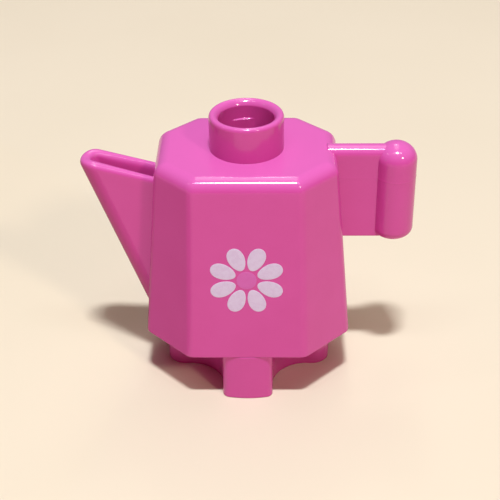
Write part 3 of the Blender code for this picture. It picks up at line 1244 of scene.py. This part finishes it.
@dataclass(frozen=True)
class DaisyPrint:
    """A plain daisy printed on the front face: petals round a heart, as thin films of ink."""

    form: PotForm
    centre_z: float = 18.2 * MM
    petals: int = 8
    petal_distance: float = 3.15 * MM
    petal_length: float = 3.3 * MM
    petal_width: float = 2.1 * MM
    petal_swell: float = 0.16
    heart_radius: float = 1.25 * MM
    film: float = 0.02 * MM
    steps: ClassVar[int] = 64

    # A film's rows: shares of the way from its centre to its outline, and heights in films
    film_shares: ClassVar[Array] = np.array([0.0, 0.5, 0.94, 0.985, 1.0, 1.0, 0.0])
    film_heights: ClassVar[Array] = np.array([1.0, 1.0, 1.0, 0.85, 0.4, -1.0, -1.0])

    def on_face(self, plan: Array, height: Array) -> Array:
        """Points of a flat drawing laid on the leaning front face.

        Args:
            plan: Points across and up from the print's centre.
            height: How far each point stands out of the face.

        Returns:
            The points in space.
        """
        z = self.centre_z + plan[..., 1]
        y = -self.form.reach(z)[..., 2] - height
        return np.stack((plan[..., 0], y, z), axis=-1)

    def blob(self, outline: Array, centre: Array) -> Array:
        """A film with a closed outline: its face, its thin edge and its back, drawn in to the centre.

        Args:
            outline: The outline's points, across and up from the print's centre.
            centre: The film's own centre.

        Returns:
            The film's rows of points in space.
        """
        plan = centre + (outline - centre) * self.film_shares[:, None, None]
        height = self.film * self.film_heights[:, None]
        return self.on_face(plan, np.broadcast_to(height, plan.shape[:-1]))

    def petal(self, number: int) -> Array:
        """One petal: an ellipse that swells outward, turned to its place round the heart.

        Args:
            number: Which petal it is.

        Returns:
            The petal's rows of points in space.
        """
        turn = np.linspace(0.0, 2.0 * np.pi, self.steps, endpoint=False)
        out = self.petal_distance + self.petal_length / 2.0 * np.cos(turn)
        side = self.petal_width / 2.0 * np.sin(turn) * (1.0 + self.petal_swell * np.cos(turn))
        angle = 2.0 * np.pi * (number + 0.5) / self.petals
        ray = np.array([math.cos(angle), math.sin(angle)])
        across = np.array([-ray[1], ray[0]])
        return self.blob(out[:, None] * ray + side[:, None] * across, self.petal_distance * ray)

    def heart(self) -> Array:
        """The round heart."""
        return self.blob(arc((0.0, 0.0), self.heart_radius, 0.0, 360.0, self.steps)[:-1], np.zeros(2))

    def dress(self) -> list[bpy.types.Object]:
        """Builds the petals and the heart in their inks.

        Returns:
            The two pieces of the print.
        """
        white = Skin()
        for number in range(self.petals):
            white.grid(self.petal(number))
        pink = Skin()
        pink.grid(self.heart())
        pieces = [
            white.to_object("print_petals", PrintInk(Ink.WHITE).material()),
            pink.to_object("print_heart", PrintInk(Ink.PINK).material()),
        ]
        for piece in pieces:
            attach(piece, BODY)
        return pieces


@dataclass(frozen=True)
class PhotoCamera:
    """The camera: where it aims, from how far and how high, and how it is turned."""

    aim: Triple = (0.29 * MM, 0.583 * MM, 15.907 * MM)
    distance: float = 158.95 * MM
    elevation: float = 32.507
    heading: float = 0.961
    roll: float = 0.571
    lens: float = 86.447
    sensor: float = 36.0
    nearest: float = 10.0 * MM

    def build(self) -> None:
        """Makes the scene's camera: a step back from the aim, facing it, then rolled."""
        rise = math.radians(self.elevation)
        side = math.radians(self.heading)
        back = Vector((math.sin(side) * math.cos(rise), -math.cos(side) * math.cos(rise), math.sin(rise)))
        data = bpy.data.cameras.new("photo_camera")
        data.lens = self.lens
        data.sensor_width = self.sensor
        data.clip_start = self.nearest
        camera = bpy.data.objects.new("photo_camera", data)
        facing = (-back).to_track_quat("-Z", "Y").to_matrix().to_4x4()
        place = Matrix.Translation(Vector(self.aim) + back * self.distance)
        camera.matrix_world = place @ facing @ Matrix.Rotation(math.radians(-self.roll), 4, "Z")
        bpy.context.scene.collection.objects.link(camera)
        bpy.context.scene.camera = camera


@dataclass(frozen=True)
class Lamp:
    """A soft rectangular lamp that faces the pot.

    Its place is a tilt from the zenith towards the camera and a tilt towards +X, both in degrees.
    """

    name: str
    towards_camera: float
    to_right: float
    level: float
    width: float
    height: float
    colour: Colour = (1.0, 1.0, 1.0)
    distance: float = 1.0

    def build(self) -> None:
        """Makes the lamp, with the power that gives its level on a surface that faces it."""
        forward = math.tan(math.radians(self.towards_camera))
        right = math.tan(math.radians(self.to_right))
        direction = Vector((right, -forward, 1.0)).normalized()
        data = bpy.data.lights.new(self.name, "AREA")
        data.shape = "RECTANGLE"
        data.size = self.width
        data.size_y = self.height
        data.energy = self.level * (math.pi * self.distance) ** 2
        data.color = self.colour
        lamp = bpy.data.objects.new(self.name, data)
        lamp.matrix_world = Matrix.Translation(direction * self.distance) @ (
            (-direction).to_track_quat("-Z", "Y").to_matrix().to_4x4()
        )
        bpy.context.scene.collection.objects.link(lamp)


@dataclass(frozen=True)
class Studio:
    """A plain pale floor with a dark card on it that paints shade into reflections, under soft lamps and an
    even sky.
    """

    floor_radius: float = 3.0
    floor_rings: int = 16
    card_radius: float = 80.0 * MM
    card_distance: float = 96.0 * MM
    card_height: float = 0.2 * MM
    card_colour: Colour = (0.27, 0.24, 0.13)
    card_shade: Colour = (0.26, 0.23, 0.125)
    sky_light: Colour = (0.08, 0.015, 0.01)
    sky_backdrop: Colour = (0.16, 0.18, 0.21)

    # Each lamp: its name, its tilts to the camera and to the right, its level, width, height and colour
    lamps: tuple[Lamp, ...] = (
        Lamp("key_lamp", 15.5, 1.5, 0.85, 0.11, 0.05, (0.95, 0.94, 1.0)),
        Lamp("strip_lamp", 15.5, 0.5, 0.19, 0.80, 0.06, (0.94, 0.94, 1.0)),
        Lamp("ceiling_panel", -24.0, 2.0, 0.18, 0.30, 0.70, (1.0, 0.93, 0.82)),
        Lamp("rear_lamp", -37.0, 0.0, 0.02, 0.06, 0.09),
        Lamp("right_lamp", 45.0, 38.0, 0.22, 0.10, 0.10, (1.0, 0.82, 0.66)),
        Lamp("left_lamp", 8.0, -44.0, 0.02, 0.05, 0.05),
    )

    def floor(self) -> None:
        """Makes the floor: a wide flat disc on the ground, in rings whose radius grows as a square."""
        radius = self.floor_radius * np.linspace(0.0, 1.0, self.floor_rings) ** 2
        skin = Skin()
        skin.grid(turned(paired(radius, 0.0)))
        skin.to_object("floor", PaleFloor().material())

    def card(self) -> None:
        """Makes a dark round card on the floor left of the pot, which only reflections see.

        It paints shade into the reflections of the faces that look to the left, which look darker for it.
        """
        profile = paired(np.array([0.0, self.card_radius]), self.card_height)
        skin = Skin()
        skin.grid(turned(profile, -self.card_distance))
        dim = PaleFloor("reflection_shade_card", self.card_colour, self.card_shade)
        card = skin.to_object("reflection_shade_card", dim.material())
        # Seen only by glossy rays: painted shade in the reflections, not a shade on the floor.
        card.visible_camera = False
        card.visible_diffuse = False
        card.visible_shadow = False

    def sky(self) -> None:
        """Makes the world: an even light, which the camera and reflections see as a pale backdrop."""
        world = bpy.data.worlds.new("studio_sky")
        world.use_nodes = True
        bpy.context.scene.world = world
        bench = Bench(world.node_tree)
        path = bench.node("ShaderNodeLightPath")
        unseen = 1.0 - bench.wire(path, "Is Camera Ray")
        for kind in ("Is Glossy Ray", "Is Transmission Ray"):
            unseen = unseen * (1.0 - bench.wire(path, kind))
        light, backdrop = (
            bench.wire(bench.node("ShaderNodeBackground", None, {"Color": (*colour, 1.0)}))
            for colour in (self.sky_light, self.sky_backdrop)
        )
        mixed = bench.wire(bench.node("ShaderNodeMixShader", None, {0: unseen, 1: backdrop, 2: light}))
        bench.node("ShaderNodeOutputWorld", None, {"Surface": mixed})

    def build(self) -> None:
        """Makes the floor, the card, the sky and the lamps, and the plain view of their colours."""
        self.floor()
        self.card()
        self.sky()
        for lamp in self.lamps:
            lamp.build()
        bpy.context.scene.view_settings.view_transform = "Standard"


def report(piece: bpy.types.Object) -> None:
    """Logs a finished piece with the number of its faces."""
    LOG.info("%s: %d faces", piece.name, len(piece.data.polygons))


def main() -> None:
    """Builds the camera, the studio, the mouldings and the print, and logs each piece."""
    logging.basicConfig(level=logging.INFO, format="%(name)s: %(message)s")
    PhotoCamera().build()
    Studio().build()
    form = PotForm.fitted()
    plastic = MouldedPlastic(
        "moulded_pink",
        colour=(0.655, 0.071, 0.375),
        cloud_colour=(0.635, 0.065, 0.355),
        # The paler, bluer colour of faces that look up: painted light from above.
        painted_top_light_colour=(0.665, 0.122, 0.455),
    )
    stud = StudCup.fitted(form)
    mouldings = (
        BodyShell(form, stud.spigot),
        stud,
        Spout.fitted(form),
        Handle.fitted(form),
        FootBase.fitted(form),
    )
    for moulding in mouldings:
        report(moulding.dress(plastic))
    for piece in DaisyPrint(form).dress():
        report(piece)


if __name__ == "__main__":
    main()
